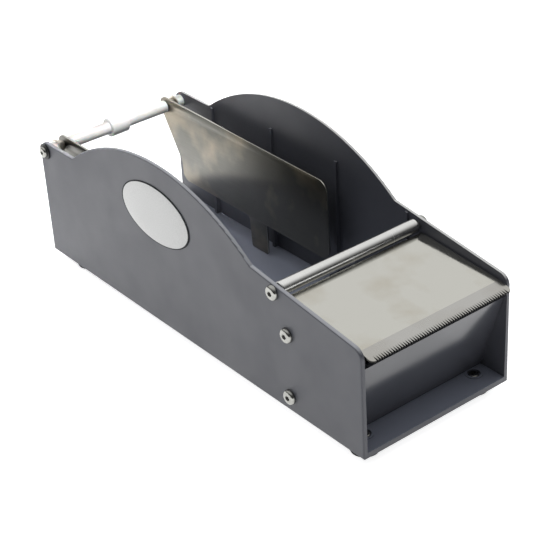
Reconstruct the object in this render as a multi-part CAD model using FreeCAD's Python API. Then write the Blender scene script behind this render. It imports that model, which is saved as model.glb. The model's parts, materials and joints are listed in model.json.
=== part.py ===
import FreeCAD, Part
import math
import os
from collections import namedtuple

os.makedirs("parts", exist_ok=True)

V = FreeCAD.Vector
X_AXIS = V(1, 0, 0)
Z_AXIS = V(0, 0, 1)
ORIGIN = V(0, 0, 0)

# Counter-top dispenser for a roll of wide paper ribbon. X runs across the width, -Y is the
# serrated front, +Z is up. The origin is at the centre of the footprint, on the table.
# Depths are first given from the front edge of the side walls, then shifted by FRONT_Y.

# Fits between pieces, as differences in diameter or as gaps
CLOSE_FIT = 0.1
PIVOT_FIT = 0.16
SEAT_GAP = 0.1
SIDE_GAP = 0.3

# Overall tub
TUB_WIDTH = 113.0
TUB_LENGTH = 320.0
LIP_REACH = 5.0
FOOT_HEIGHT = 7.0
FLOOR_T = 3.5
FRONT_Y = -(TUB_LENGTH - LIP_REACH) / 2
FLOOR_TOP = FOOT_HEIGHT + FLOOR_T
HALF_W = TUB_WIDTH / 2

# Side wall: level rail at the rear, round hump, falling rail at the front
RAIL_HEIGHT = 84.0
HUMP_RISE = 31.4
HUMP_BACK = 132.7
HUMP_R = 153.0
FRONT_FALL = 0.13
FRONT_CORNER_R = 7.0
REAR_CORNER_R = 9.0
EDGE_ROUND = 1.0
WALL_T_FLOOR = 3.0
WALL_T_TOP = 2.2
RAIL_Z = FOOT_HEIGHT + RAIL_HEIGHT
HUMP_Z = RAIL_Z + HUMP_RISE
DRAFT = (WALL_T_FLOOR - WALL_T_TOP) / (HUMP_Z - FLOOR_TOP)
HALF_CHORD = math.sqrt(HUMP_R ** 2 - (HUMP_R - HUMP_RISE) ** 2)
HUMP_Y = TUB_LENGTH - HUMP_BACK
KINK_Y = HUMP_Y - HALF_CHORD
NOTCH_Y = HUMP_Y + HALF_CHORD

# Ribs inside the side walls
RIB_FIRST = 83.0
RIB_PITCH = 64.5
RIB_COUNT = 4
RIB_T = 2.2
RIB_DEPTH_FLOOR = 3.0
RIB_DEPTH_TOP = 1.2
RIB_ABOVE_RAIL = 7.0
RIB_EDGE_DROP = 1.2

# M5 button-head screws of the front, their holes and plain nuts
SCREW_D = 5.0
HEAD_D = 9.5
HEAD_H = 2.75
HEAD_RIM = 0.5
HEAD_CROWN_R = 2.6
SOCKET_AF = 3.0
SOCKET_DEPTH = 1.6
TIP_CHAMFER = 0.5
NUT_AF = 8.0
NUT_H = 4.0
NUT_CHAMFER = 0.45
SCREW_HOLE_D = SCREW_D + CLOSE_FIT

# M4 button-head screws and lock nuts of the hanger
HANGER_SCREW_D = 4.0
HANGER_HEAD_D = 7.6
HANGER_HEAD_H = 2.2
HANGER_CROWN_R = 2.1
HANGER_SOCKET_AF = 2.5
HANGER_SOCKET_DEPTH = 1.3
LOCK_NUT_AF = 7.0
LOCK_NUT_H = 4.8
HANGER_HOLE_D = HANGER_SCREW_D + CLOSE_FIT
PIVOT_D = HANGER_SCREW_D + PIVOT_FIT

Screw = namedtuple("Screw", "shank_d head_d head_h crown_r socket_af socket_depth")
M5 = Screw(SCREW_D, HEAD_D, HEAD_H, HEAD_CROWN_R, SOCKET_AF, SOCKET_DEPTH)
M4 = Screw(HANGER_SCREW_D, HANGER_HEAD_D, HANGER_HEAD_H, HANGER_CROWN_R, HANGER_SOCKET_AF, HANGER_SOCKET_DEPTH)

# Guide roller
ROLLER_Y = 74.0
ROLLER_DROP = 8.0
ROLLER_D = 9.0
ROLLER_END_GAP = 1.7
ROLLER_ROUND = 1.6
ROLLER_BORE_DEPTH = 12.0
ROLLER_SCREW_L = 14.0
ROLLER_Z = RAIL_Z - ROLLER_DROP
ROLLER_BORE_D = SCREW_D + CLOSE_FIT

# Deck plate with a sawtooth lip and a rear flange
DECK_T = 1.2
DECK_DROP = 11.1
DECK_SLOPE = 0.072
DECK_ROLLER_GAP = 0.1
DECK_SIDE_GAP = 0.9
DECK_FLANGE = 7.0
LIP_START = 5.5
LIP_SLOPE = 0.2
TOOTH_COUNT = 57
TOOTH_DEPTH = 2.6
TOOTH_LAND = 0.6
DECK_CORNER_R = 3.0
DECK_REAR_Y = ROLLER_Y - ROLLER_D / 2 - DECK_ROLLER_GAP
DECK_REAR_Z = RAIL_Z - DECK_DROP
DECK_BEND_Z = DECK_REAR_Z - DECK_SLOPE * (DECK_REAR_Y - LIP_START)
DECK_TIP_Z = DECK_BEND_Z - LIP_SLOPE * (LIP_START + LIP_REACH)

# Bridge between the walls under the deck plate
BRIDGE_T = 3.0
BRIDGE_SIDE_GAP = 0.15
BRIDGE_FLOOR_GAP = 0.6
PANEL_TOP_Y = 2.4
PANEL_DROP = 9.4
PANEL_FOOT_Y = 19.0
SLOT_BACK_Y = 13.0
BRIDGE_BACK_Y = DECK_REAR_Y - DECK_T - SEAT_GAP
PANEL_TOP_Z = DECK_BEND_Z - DECK_T - PANEL_DROP
PANEL_FOOT_Z = FLOOR_TOP + BRIDGE_FLOOR_GAP

# Bridge screws with bosses and nut pockets in the bridge
BRIDGE_SCREW_Y = 63.0
BRIDGE_SCREW_HEIGHTS = (10.2, 52.6)
BRIDGE_SCREW_L = 14.0
BOSS_D = 12.0
BOSS_L = 9.0
BOSS_INSET = 0.4

# Hanger axis through the rear ears
HANGER_INSET = 6.8
HANGER_DROP = 6.7
WASHER_D = 11.0
WASHER_T = 1.0
SPACER_D = 8.5
SPACER_L = 5.6
SLEEVE_GRIP = 10.4
HANGER_Y = TUB_LENGTH - HANGER_INSET
HANGER_Z = RAIL_Z - HANGER_DROP

# Guide plates, placed from the hanger axis they swing on
PLATE_T = 1.5
PLATE_LUG_R = 6.4
PLATE_REACH = 171.5
PLATE_RISE_FRONT = 5.2
PLATE_DEPTH = 51.0
PLATE_REAR_SET = 15.4
PLATE_REAR_RISE = 13.2
PLATE_REAR_LEAN = 0.6
PLATE_CORNER_R = 8.0
PLATE_HEEL_R = 6.0
LEG_FRONT_SET = 63.9
LEG_WIDTH = 18.4
LEG_TAPER = 1.5
LEG_CREASE_R = 1.0
LEG_ROOT_R = 3.0
LEG_TIP_R = 1.5

# Sleeve between the guide plates and its collar
SLEEVE_D = 8.6
SLEEVE_END_GAP = 0.5
COLLAR_D = 13.2
COLLAR_L = 14.0
COLLAR_EDGE = 0.6

# Feet, their screws in ringed pockets of the floor, and their nuts
FOOT_D = 18.0
FOOT_TOP_D = 16.0
FOOT_EDGE = 1.0
FOOT_SIDE_INSET = 13.5
FOOT_FRONT_INSET = 14.5
FOOT_REAR_INSET = 24.0
FOOT_SCREW_D = 4.0
FOOT_HEAD_D = 6.6
FOOT_HEAD_H = 1.6
FOOT_HEAD_ROUND = 1.1
CROSS_LENGTH = 3.0
CROSS_WIDTH = 0.7
CROSS_DEPTH = 1.0
POCKET_D = 8.0
POCKET_DEPTH = 1.2
RING_D = 11.0
RING_H = 0.4
FOOT_NUT_AF = 7.0
FOOT_NUT_H = 3.2
FOOT_NUT_LIFT = 1.4
FOOT_HOLE_D = FOOT_SCREW_D + CLOSE_FIT
FOOT_ENDS = ((FOOT_FRONT_INSET, "front"), (TUB_LENGTH - FOOT_REAR_INSET, "rear"))

# Oval label plate on the outside of the near wall
LABEL_LENGTH = 70.0
LABEL_HEIGHT = 39.5
LABEL_T = 1.1
LABEL_EDGE = 0.5
LABEL_DROP = 3.8

# Cutting tools run past the faces they cut by this much
PAST = 5.0
SIDES = ((-1, "left"), (1, "right"))


def inner_half(z, gap=0.0):
    """Half width between the drafted inner wall faces at a height, less a gap."""
    return HALF_W - WALL_T_FLOOR + DRAFT * (z - FLOOR_TOP) - gap


ROLLER_HALF = inner_half(ROLLER_Z) - ROLLER_END_GAP
DECK_HALF = inner_half(DECK_TIP_Z) - DECK_SIDE_GAP
SPACER_OUT = inner_half(HANGER_Z) - SEAT_GAP / 2
SPACER_IN = SPACER_OUT - SPACER_L
INNER_WASHER_IN = SPACER_IN - WASHER_T
HANGER_NUT_IN = INNER_WASHER_IN - LOCK_NUT_H
PLATE_OUT = HANGER_NUT_IN - SIDE_GAP
PLATE_IN = PLATE_OUT - PLATE_T
SLEEVE_HALF = PLATE_IN - SLEEVE_END_GAP
HANGER_SCREW_L = HALF_W + WASHER_T - SLEEVE_HALF + SLEEVE_GRIP


def depth(value):
    """Row-frame Y of a depth measured back from the wall fronts."""
    return FRONT_Y + value


def wall_top(y):
    """Height of the wall's top edge at a depth."""
    if y < KINK_Y:
        return RAIL_Z - FRONT_FALL * (KINK_Y - y)
    if y > NOTCH_Y:
        return RAIL_Z
    return HUMP_Z - HUMP_R + math.sqrt(HUMP_R ** 2 - (y - HUMP_Y) ** 2)


def prism(points, x0, x1):
    """Solid from a closed (depth, z) outline, spanning x0 to x1."""
    corners = [V(x0, depth(y), z) for y, z in points]
    face = Part.Face(Part.makePolygon(corners + corners[:1]))
    return face.extrude(V(x1 - x0, 0, 0))


def box(x0, x1, y0, y1, z0, z1):
    """Box between two X values, two depths and two heights."""
    return Part.makeBox(x1 - x0, y1 - y0, z1 - z0, V(x0, depth(y0), z0))


def rod(x0, x1, y, z, diameter):
    """Cylinder along X between two X values."""
    low, high = min(x0, x1), max(x0, x1)
    return Part.makeCylinder(diameter / 2, high - low, V(low, depth(y), z), X_AXIS)


def post(x, y, z0, z1, diameter):
    """Upright cylinder between two heights."""
    return Part.makeCylinder(diameter / 2, z1 - z0, V(x, depth(y), z0), Z_AXIS)


def hexagon(flats, x0, x1, y, z):
    """Hexagonal bar along X, one flat facing up."""
    radius = flats / math.sqrt(3)
    turns = [math.radians(30 + 60 * i) for i in range(6)]
    return prism([(y + radius * math.sin(a), z + radius * math.cos(a)) for a in turns], x0, x1)


def fuse_all(solids):
    """One clean solid from overlapping solids."""
    whole = solids[0]
    if len(solids) > 1:
        whole = solids[0].multiFuse(solids[1:])
    return whole.removeSplitter()


def save(name, shape):
    """Write one sub-part."""
    shape.exportStep("parts/" + name + ".step")


def round_edges(shape, spots, radius):
    """Round the straight edges along X that pass through given (depth, z) spots."""
    chosen = []
    for edge in shape.Edges:
        if not isinstance(edge.Curve, (Part.Line, Part.LineSegment)):
            continue
        middle = edge.valueAt((edge.FirstParameter + edge.LastParameter) / 2)
        if abs(edge.tangentAt(edge.FirstParameter).x) < 0.999:
            continue
        if any(math.hypot(middle.y - depth(y), middle.z - z) < radius / 10 for y, z in spots):
            chosen.append(edge)
    return shape.makeFillet(radius, chosen)


def circle_edges(shape, x=None, z=None):
    """Circular edges, or only those lying at one X or at one height."""
    found = [e for e in shape.Edges if isinstance(e.Curve, Part.Circle)]
    if x is not None:
        found = [e for e in found if abs(e.Curve.Center.x - x) < 1e-6]
    if z is not None:
        found = [e for e in found if abs(e.Curve.Center.z - z) < 1e-6]
    return found


def wall_outline():
    """Closed wire of the side wall's profile at x = 0."""
    front_r, rear_r = FRONT_CORNER_R, REAR_CORNER_R
    lean = math.atan(FRONT_FALL)
    run = front_r * math.tan((math.pi / 2 - lean) / 2)
    start = (0.0, wall_top(0.0) - run)
    stop = (run * math.cos(lean), wall_top(0.0) + run * math.sin(lean))
    bulge = math.radians(135) + lean / 2
    front_mid = (front_r + front_r * math.cos(bulge), start[1] + front_r * math.sin(bulge))
    inset = rear_r * (1 - math.sin(math.radians(45)))
    rear_mid = (TUB_LENGTH - inset, RAIL_Z - inset)

    def at(point):
        return V(0, depth(point[0]), point[1])

    def line(a, b):
        return Part.LineSegment(at(a), at(b)).toShape()

    def arc(a, b, c):
        return Part.Arc(at(a), at(b), at(c)).toShape()

    edges = [
        line((0, FOOT_HEIGHT), start),
        arc(start, front_mid, stop),
        line(stop, (KINK_Y, RAIL_Z)),
        arc((KINK_Y, RAIL_Z), (HUMP_Y, HUMP_Z), (NOTCH_Y, RAIL_Z)),
        line((NOTCH_Y, RAIL_Z), (TUB_LENGTH - rear_r, RAIL_Z)),
        arc((TUB_LENGTH - rear_r, RAIL_Z), rear_mid, (TUB_LENGTH, RAIL_Z - rear_r)),
        line((TUB_LENGTH, RAIL_Z - rear_r), (TUB_LENGTH, FOOT_HEIGHT)),
        line((TUB_LENGTH, FOOT_HEIGHT), (0, FOOT_HEIGHT)),
    ]
    return Part.Wire(edges)


def inside_block(y0, y1, z0, z1, gap=0.0):
    """Block that fills the space between the drafted inner faces."""
    a, b = inner_half(z0, gap), inner_half(z1, gap)
    corners = [V(-a, depth(y0), z0), V(a, depth(y0), z0), V(b, depth(y0), z1), V(-b, depth(y0), z1)]
    face = Part.Face(Part.makePolygon(corners + corners[:1]))
    return face.extrude(V(0, y1 - y0, 0))


def side_wall(side):
    """One side wall with rounded outer edges, before its inner face is cut."""
    outside = side * HALF_W
    wall = Part.Face(wall_outline()).extrude(V(-side * (WALL_T_FLOOR + EDGE_ROUND), 0, 0))
    wall.translate(V(outside, 0, 0))
    outer = [e for e in wall.Edges if abs(e.BoundBox.XMin - outside) < 1e-6
             and abs(e.BoundBox.XMax - outside) < 1e-6]
    return wall.makeFillet(EDGE_ROUND, outer)


def rib(side, y):
    """Upright rib inside a wall, deeper at the floor than at its top."""
    edge_top = min(wall_top(y - RIB_T), wall_top(y + RIB_T)) - RIB_EDGE_DROP
    top = min(RAIL_Z + RIB_ABOVE_RAIL, edge_top)
    low_in = inner_half(FLOOR_TOP) - RIB_DEPTH_FLOOR
    high_in = inner_half(top) - RIB_DEPTH_TOP
    root = HALF_W - WALL_T_TOP / 2
    low = FLOOR_TOP - FLOOR_T / 2
    y0 = depth(y) - RIB_T / 2
    corners = [V(side * low_in, y0, low), V(side * root, y0, low),
               V(side * root, y0, top), V(side * high_in, y0, top)]
    face = Part.Face(Part.makePolygon(corners + corners[:1]))
    return face.extrude(V(0, RIB_T, 0))


def foot_spots():
    """The (x, depth) of the four feet."""
    return [(side * (HALF_W - FOOT_SIDE_INSET), y) for y, end in FOOT_ENDS for side, name in SIDES]


def make_tub():
    """Floor, side walls, ribs, ringed foot pockets and screw holes."""
    floor_half = HALF_W - EDGE_ROUND
    floor = box(-floor_half, floor_half, 0, TUB_LENGTH, FOOT_HEIGHT, FLOOR_TOP)
    hollow = inside_block(-PAST, TUB_LENGTH + PAST, FLOOR_TOP, HUMP_Z + PAST)
    walls = [side_wall(side).cut(hollow) for side, name in SIDES]
    rib_ys = [RIB_FIRST + RIB_PITCH * i for i in range(RIB_COUNT)]
    ribs = [rib(side, y) for side, name in SIDES for y in rib_ys]
    rings = [post(x, y, FOOT_HEIGHT, FLOOR_TOP + RING_H, RING_D) for x, y in foot_spots()]
    tub = fuse_all([floor] + walls + ribs + rings)
    top = FLOOR_TOP + PAST
    cuts = [post(x, y, FLOOR_TOP - POCKET_DEPTH, top, POCKET_D) for x, y in foot_spots()]
    cuts += [post(x, y, FOOT_HEIGHT - PAST, top, FOOT_HOLE_D) for x, y in foot_spots()]
    holes = [(y, z, SCREW_HOLE_D) for y, z in [(ROLLER_Y, ROLLER_Z)] + bridge_screw_spots()]
    holes.append((HANGER_Y, HANGER_Z, HANGER_HOLE_D))
    cuts += [rod(-HALF_W - PAST, HALF_W + PAST, y, z, d) for y, z, d in holes]
    for cutter in cuts:
        tub = tub.cut(cutter)
    return tub


def deck_underside(y):
    """Height of the deck plate's lower face behind its bend."""
    return DECK_REAR_Z - DECK_SLOPE * (DECK_REAR_Y - y) - DECK_T


def bridge_outline():
    """Outer outline of the bridge, seated under the deck plate."""
    return [(PANEL_TOP_Y, PANEL_TOP_Z), (LIP_START, deck_underside(LIP_START) - SEAT_GAP),
            (BRIDGE_BACK_Y, deck_underside(BRIDGE_BACK_Y) - SEAT_GAP),
            (BRIDGE_BACK_Y, PANEL_FOOT_Z), (PANEL_FOOT_Y, PANEL_FOOT_Z)]


def bridge_hollow():
    """Outline of the space inside the bridge, one skin's thickness in and open below."""
    rise = PANEL_TOP_Z - PANEL_FOOT_Z
    slant = math.hypot(PANEL_FOOT_Y - PANEL_TOP_Y, rise) / rise
    skin = BRIDGE_T * slant
    lean = (PANEL_FOOT_Y - PANEL_TOP_Y) / rise
    front, back = LIP_START + skin, BRIDGE_BACK_Y - BRIDGE_T
    return [(PANEL_TOP_Y + skin, PANEL_TOP_Z),
            (front, deck_underside(front) - SEAT_GAP - BRIDGE_T),
            (back, deck_underside(back) - SEAT_GAP - BRIDGE_T),
            (back, PANEL_FOOT_Z - PAST), (PANEL_FOOT_Y + skin + lean * PAST, PANEL_FOOT_Z - PAST)]


def bridge_slot():
    """Outline of the gap between the panel's top edge and the bridge's top, open to the front."""
    ceiling = deck_underside(LIP_START) - SEAT_GAP - BRIDGE_T
    return [(-PAST, PANEL_TOP_Z), (SLOT_BACK_Y, PANEL_TOP_Z), (SLOT_BACK_Y, ceiling), (-PAST, ceiling)]


def bridge_screw_spots():
    """The (depth, z) of the bridge screws in one wall."""
    return [(BRIDGE_SCREW_Y, FOOT_HEIGHT + height) for height in BRIDGE_SCREW_HEIGHTS]


def boss_end(z):
    """Distance of a bridge boss's inner end from the middle."""
    return inner_half(z, BRIDGE_SIDE_GAP + BOSS_INSET) - BOSS_L


def make_bridge():
    """Hollow bridge: slanted panel, top, back wall, side cheeks and screw bosses."""
    whole = prism(bridge_outline(), -HALF_W, HALF_W)
    between = inside_block(-PAST, BRIDGE_BACK_Y + PAST, FLOOR_TOP, HUMP_Z, BRIDGE_SIDE_GAP)
    whole = whole.common(between)
    cheek_in = inner_half(FLOOR_TOP, BRIDGE_SIDE_GAP) - BRIDGE_T
    bridge = whole.cut(prism(bridge_hollow(), -cheek_in, cheek_in))
    bridge = bridge.cut(prism(bridge_slot(), -HALF_W, HALF_W))
    keep = box(-HALF_W, HALF_W, 0, BRIDGE_BACK_Y, PANEL_FOOT_Z, DECK_REAR_Z)
    bosses = []
    for y, z in bridge_screw_spots():
        outer = boss_end(z) + BOSS_L
        bosses += [rod(side * boss_end(z), side * outer, y, z, BOSS_D).common(keep) for side, name in SIDES]
    bridge = fuse_all([bridge] + bosses)
    for y, z in bridge_screw_spots():
        bridge = bridge.cut(rod(-HALF_W, HALF_W, y, z, SCREW_HOLE_D))
        for side, name in SIDES:
            start = side * (boss_end(z) - PAST)
            bridge = bridge.cut(hexagon(NUT_AF + CLOSE_FIT, start, side * (boss_end(z) + NUT_H), y, z))
    return bridge


def deck_section():
    """Outline of the bent deck plate with its rear flange, in depth and height."""
    t = DECK_T
    flange_in = DECK_REAR_Y - t
    foot = DECK_REAR_Z - DECK_FLANGE
    return [(-LIP_REACH, DECK_TIP_Z), (LIP_START, DECK_BEND_Z), (DECK_REAR_Y, DECK_REAR_Z),
            (DECK_REAR_Y, foot), (flange_in, foot), (flange_in, deck_underside(flange_in)),
            (LIP_START, DECK_BEND_Z - t), (-LIP_REACH, DECK_TIP_Z - t)]


def tooth_cutter():
    """Block that cuts the gaps between flat-tipped teeth out of the front lip."""
    tip, root = -LIP_REACH, -LIP_REACH + TOOTH_DEPTH
    half = DECK_HALF - DECK_CORNER_R
    pitch = 2 * half / TOOTH_COUNT
    low = DECK_TIP_Z - PAST
    points = [(-half, tip - PAST), (-half, tip)]
    for i in range(TOOTH_COUNT):
        x = -half + i * pitch
        points.append((x + TOOTH_LAND / 2, tip))
        points.append((x + pitch / 2, root))
        points.append((x + pitch - TOOTH_LAND / 2, tip))
    points.append((half, tip))
    points.append((half, tip - PAST))
    corners = [V(x, depth(y), low) for x, y in points]
    face = Part.Face(Part.makePolygon(corners + corners[:1]))
    return face.extrude(V(0, 0, 2 * PAST))


def make_deck():
    """Stainless deck plate with rounded front corners and a sawtooth edge."""
    plate = prism(deck_section(), -DECK_HALF, DECK_HALF)
    r, low, high = DECK_CORNER_R, DECK_TIP_Z - PAST, DECK_BEND_Z + PAST
    for side, name in SIDES:
        centre = side * (DECK_HALF - r)
        edge = side * DECK_HALF
        block = box(min(centre, edge), max(centre, edge), -LIP_REACH - PAST, r - LIP_REACH, low, high)
        disc = post(centre, r - LIP_REACH, low - PAST, high + PAST, 2 * r)
        plate = plate.cut(block.cut(disc))
    return plate.cut(tooth_cutter())


def make_roller():
    """Solid bar with rounded ends and a blind bearing bore in each end."""
    bar = rod(-ROLLER_HALF, ROLLER_HALF, ROLLER_Y, ROLLER_Z, ROLLER_D)
    bar = bar.makeFillet(ROLLER_ROUND, circle_edges(bar))
    for side, name in SIDES:
        inner = side * (ROLLER_HALF - ROLLER_BORE_DEPTH)
        outer = side * (ROLLER_HALF + PAST)
        bar = bar.cut(rod(inner, outer, ROLLER_Y, ROLLER_Z, ROLLER_BORE_D))
    return bar


def button_head(side, size):
    """Domed screw head on the X axis, seated at x = 0 and standing out to its side."""
    out, way = V(0, 0, 1), V(side, 0, 0)
    r, h = size.head_d / 2, size.head_h
    rim = out * r + way * HEAD_RIM
    shoulder = out * (0.78 * r) + way * (0.72 * h)
    crown = out * size.crown_r + way * h
    profile = [
        Part.LineSegment(ORIGIN, out * r).toShape(),
        Part.LineSegment(out * r, rim).toShape(),
        Part.Arc(rim, shoulder, crown).toShape(),
        Part.LineSegment(crown, way * h).toShape(),
        Part.LineSegment(way * h, ORIGIN).toShape(),
    ]
    return Part.Face(Part.Wire(profile)).revolve(ORIGIN, X_AXIS, 360)


def button_screw(side, y, z, seat, length, size):
    """Button-head screw along X; its head sits outside seat and its shank points inwards."""
    head = button_head(side, size)
    head.translate(V(seat, depth(y), z))
    crown = seat + side * size.head_h
    socket = hexagon(size.socket_af, crown - side * size.socket_depth, crown + side * PAST, y, z)
    tip = seat - side * length
    shank = rod(tip, seat, y, z, size.shank_d)
    shank = shank.makeChamfer(TIP_CHAMFER, circle_edges(shank, x=tip))
    return head.fuse(shank).cut(socket).removeSplitter()


def hex_nut(x_in, x_out, y, z, flats, bore):
    """Hexagon nut along X with a plain bore and chamfered corners."""
    nut = hexagon(flats, x_in, x_out, y, z)
    turned = rod(x_in, x_out, y, z, 2 * flats / math.sqrt(3))
    turned = turned.makeChamfer(NUT_CHAMFER, circle_edges(turned))
    return nut.common(turned).cut(rod(-HALF_W, HALF_W, y, z, bore))


def hanger_ring(x_in, x_out, diameter):
    """Flat ring or tube that sits on a hanger screw."""
    disc = rod(x_in, x_out, HANGER_Y, HANGER_Z, diameter)
    return disc.cut(rod(-2 * HALF_W, 2 * HALF_W, HANGER_Y, HANGER_Z, HANGER_HOLE_D))


def plate_outline():
    """Corner list of the guide plate: (depth, z, corner radius)."""
    front = HANGER_Y - PLATE_REACH
    bottom = HANGER_Z - PLATE_DEPTH
    rear = HANGER_Y - PLATE_REAR_SET
    rest = FLOOR_TOP + SIDE_GAP
    leg = front + LEG_FRONT_SET
    return [
        (front, HANGER_Z + PLATE_RISE_FRONT, PLATE_CORNER_R),
        (front, bottom, PLATE_CORNER_R),
        (leg, bottom, LEG_CREASE_R),
        (leg, rest, LEG_TIP_R),
        (leg + LEG_WIDTH - LEG_TAPER, rest, LEG_TIP_R),
        (leg + LEG_WIDTH, bottom, LEG_ROOT_R),
        (rear, bottom, PLATE_HEEL_R),
        (rear + PLATE_REAR_LEAN, bottom + PLATE_REAR_RISE, PLATE_CORNER_R),
    ]


def tangent_point(corner, centre, radius, sign):
    """Point where a line from a corner touches a circle, on one side of it."""
    dy, dz = corner[0] - centre[0], corner[1] - centre[1]
    angle = math.atan2(dz, dy) + sign * math.acos(radius / math.hypot(dy, dz))
    return (centre[0] + radius * math.cos(angle), centre[1] + radius * math.sin(angle))


def make_plate(side):
    """Guide plate with a rounded hanging lug, a sloping rear edge and a resting leg."""
    centre = (HANGER_Y, HANGER_Z)
    corners = plate_outline()
    top = tangent_point(corners[0], centre, PLATE_LUG_R, -1)
    rear = tangent_point(corners[-1], centre, PLATE_LUG_R, 1)
    x0 = PLATE_IN if side > 0 else -PLATE_OUT
    body = prism([top] + [(y, z) for y, z, r in corners] + [rear, centre], x0, x0 + PLATE_T)
    for radius in sorted(set(r for y, z, r in corners)):
        body = round_edges(body, [(y, z) for y, z, r in corners if r == radius], radius)
    lug = rod(x0, x0 + PLATE_T, HANGER_Y, HANGER_Z, 2 * PLATE_LUG_R)
    plate = body.fuse(lug).removeSplitter()
    return plate.cut(rod(x0 - PAST, x0 + PAST, HANGER_Y, HANGER_Z, PIVOT_D))


def make_sleeve():
    """White tube that turns on the tips of the two hanger screws."""
    tube = rod(-SLEEVE_HALF, SLEEVE_HALF, HANGER_Y, HANGER_Z, SLEEVE_D)
    return tube.cut(rod(-HALF_W, HALF_W, HANGER_Y, HANGER_Z, PIVOT_D))


def make_collar():
    """Larger collar around the middle of the sleeve."""
    ring = rod(-COLLAR_L / 2, COLLAR_L / 2, HANGER_Y, HANGER_Z, COLLAR_D)
    ring = ring.makeFillet(COLLAR_EDGE, circle_edges(ring))
    return ring.cut(rod(-HALF_W, HALF_W, HANGER_Y, HANGER_Z, SLEEVE_D + CLOSE_FIT))


def make_foot(x, y):
    """Tapered rubber foot with a bore and a nut pocket."""
    cone = Part.makeCone(FOOT_D / 2, FOOT_TOP_D / 2, FOOT_HEIGHT, V(x, depth(y), 0), Z_AXIS)
    cone = cone.makeFillet(FOOT_EDGE, circle_edges(cone, z=0))
    bored = cone.cut(post(x, y, FOOT_NUT_LIFT, FOOT_HEIGHT + PAST, FOOT_HOLE_D))
    return bored.cut(foot_hexagon(x, y, FOOT_NUT_AF + CLOSE_FIT))


def foot_hexagon(x, y, flats):
    """Upright hexagonal block inside a foot."""
    radius = flats / math.sqrt(3)
    turns = [math.radians(60 * i) for i in range(6)]
    corners = [V(x + radius * math.cos(a), depth(y) + radius * math.sin(a), FOOT_NUT_LIFT) for a in turns]
    face = Part.Face(Part.makePolygon(corners + corners[:1]))
    return face.extrude(V(0, 0, FOOT_NUT_H))


def make_foot_nut(x, y):
    """Nut held in the foot's pocket."""
    return foot_hexagon(x, y, FOOT_NUT_AF).cut(post(x, y, 0, FOOT_HEIGHT, FOOT_HOLE_D))


def make_foot_screw(x, y):
    """Low-head screw sunk in the floor's ringed pocket, with a cross recess."""
    seat = FLOOR_TOP - POCKET_DEPTH
    top = seat + FOOT_HEAD_H
    head = post(x, y, seat, top, FOOT_HEAD_D)
    head = head.makeFillet(FOOT_HEAD_ROUND, circle_edges(head, z=top))
    shank = post(x, y, FOOT_NUT_LIFT, seat + FOOT_HEAD_H / 2, FOOT_SCREW_D)
    screw = head.fuse(shank).removeSplitter()
    long, short = CROSS_LENGTH / 2, CROSS_WIDTH / 2
    for half_x, half_y in ((long, short), (short, long)):
        slot = box(x - half_x, x + half_x, y - half_y, y + half_y, top - CROSS_DEPTH, top + PAST)
        screw = screw.cut(slot)
    return screw


def make_label():
    """Raised oval label plate on the outside of the near wall."""
    oval = Part.Ellipse(ORIGIN, LABEL_LENGTH / 2, LABEL_HEIGHT / 2)
    face = Part.Face(Part.Wire([oval.toShape()]))
    face.rotate(ORIGIN, V(1, 1, 1), 120)
    plate = face.extrude(V(-LABEL_T, 0, 0))
    rims = [e for e in plate.Edges if abs(e.BoundBox.XMax + LABEL_T) < 1e-6]
    plate = plate.makeFillet(LABEL_EDGE, rims)
    plate.translate(V(-HALF_W, depth(HUMP_Y), RAIL_Z - LABEL_DROP))
    return plate


def save_body():
    """Write the tub, the bridge, the deck plate, the roller, the sleeve and the label."""
    save("body_tub", make_tub())
    save("front_bridge", make_bridge())
    save("cutter_plate", make_deck())
    save("guide_roller", make_roller())
    save("sleeve_tube", make_sleeve())
    save("sleeve_collar", make_collar())
    save("oval_label", make_label())


def save_side(side, name):
    """Write the guide plate, screws, nuts, washers and spacer of one side."""
    seat = side * HALF_W
    save("guide_plate_" + name, make_plate(side))
    save("roller_screw_" + name, button_screw(side, ROLLER_Y, ROLLER_Z, seat, ROLLER_SCREW_L, M5))
    washer_out = side * (HALF_W + WASHER_T)
    save("hanger_screw_" + name, button_screw(side, HANGER_Y, HANGER_Z, washer_out, HANGER_SCREW_L, M4))
    save("hanger_washer_" + name, hanger_ring(seat, washer_out, WASHER_D))
    save("hanger_spacer_" + name, hanger_ring(side * SPACER_IN, side * SPACER_OUT, SPACER_D))
    save("hanger_inner_washer_" + name, hanger_ring(side * INNER_WASHER_IN, side * SPACER_IN, WASHER_D))
    nut_in, nut_out = side * HANGER_NUT_IN, side * INNER_WASHER_IN
    save("hanger_nut_" + name, hex_nut(nut_in, nut_out, HANGER_Y, HANGER_Z, LOCK_NUT_AF, HANGER_HOLE_D))
    screws = [button_screw(side, y, z, seat, BRIDGE_SCREW_L, M5) for y, z in bridge_screw_spots()]
    save("bridge_screws_" + name, Part.makeCompound(screws))
    nuts = []
    for y, z in bridge_screw_spots():
        nuts.append(hex_nut(side * boss_end(z), side * (boss_end(z) + NUT_H), y, z, NUT_AF, SCREW_HOLE_D))
    save("bridge_nuts_" + name, Part.makeCompound(nuts))


def save_feet():
    """Write the feet one by one, and their screws and nuts together."""
    for y, end in FOOT_ENDS:
        for side, name in SIDES:
            save("foot_" + end + "_" + name, make_foot(side * (HALF_W - FOOT_SIDE_INSET), y))
    save("foot_screws", Part.makeCompound([make_foot_screw(x, y) for x, y in foot_spots()]))
    save("foot_nuts", Part.makeCompound([make_foot_nut(x, y) for x, y in foot_spots()]))


save_body()
for side, name in SIDES:
    save_side(side, name)
save_feet()
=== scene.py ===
"""Looks of a counter-top dispenser for wide paper ribbon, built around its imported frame."""

import json
import logging
import math
from dataclasses import dataclass, field
from enum import Enum
from typing import Optional, Sequence

import bpy
from mathutils import Matrix, Vector


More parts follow.
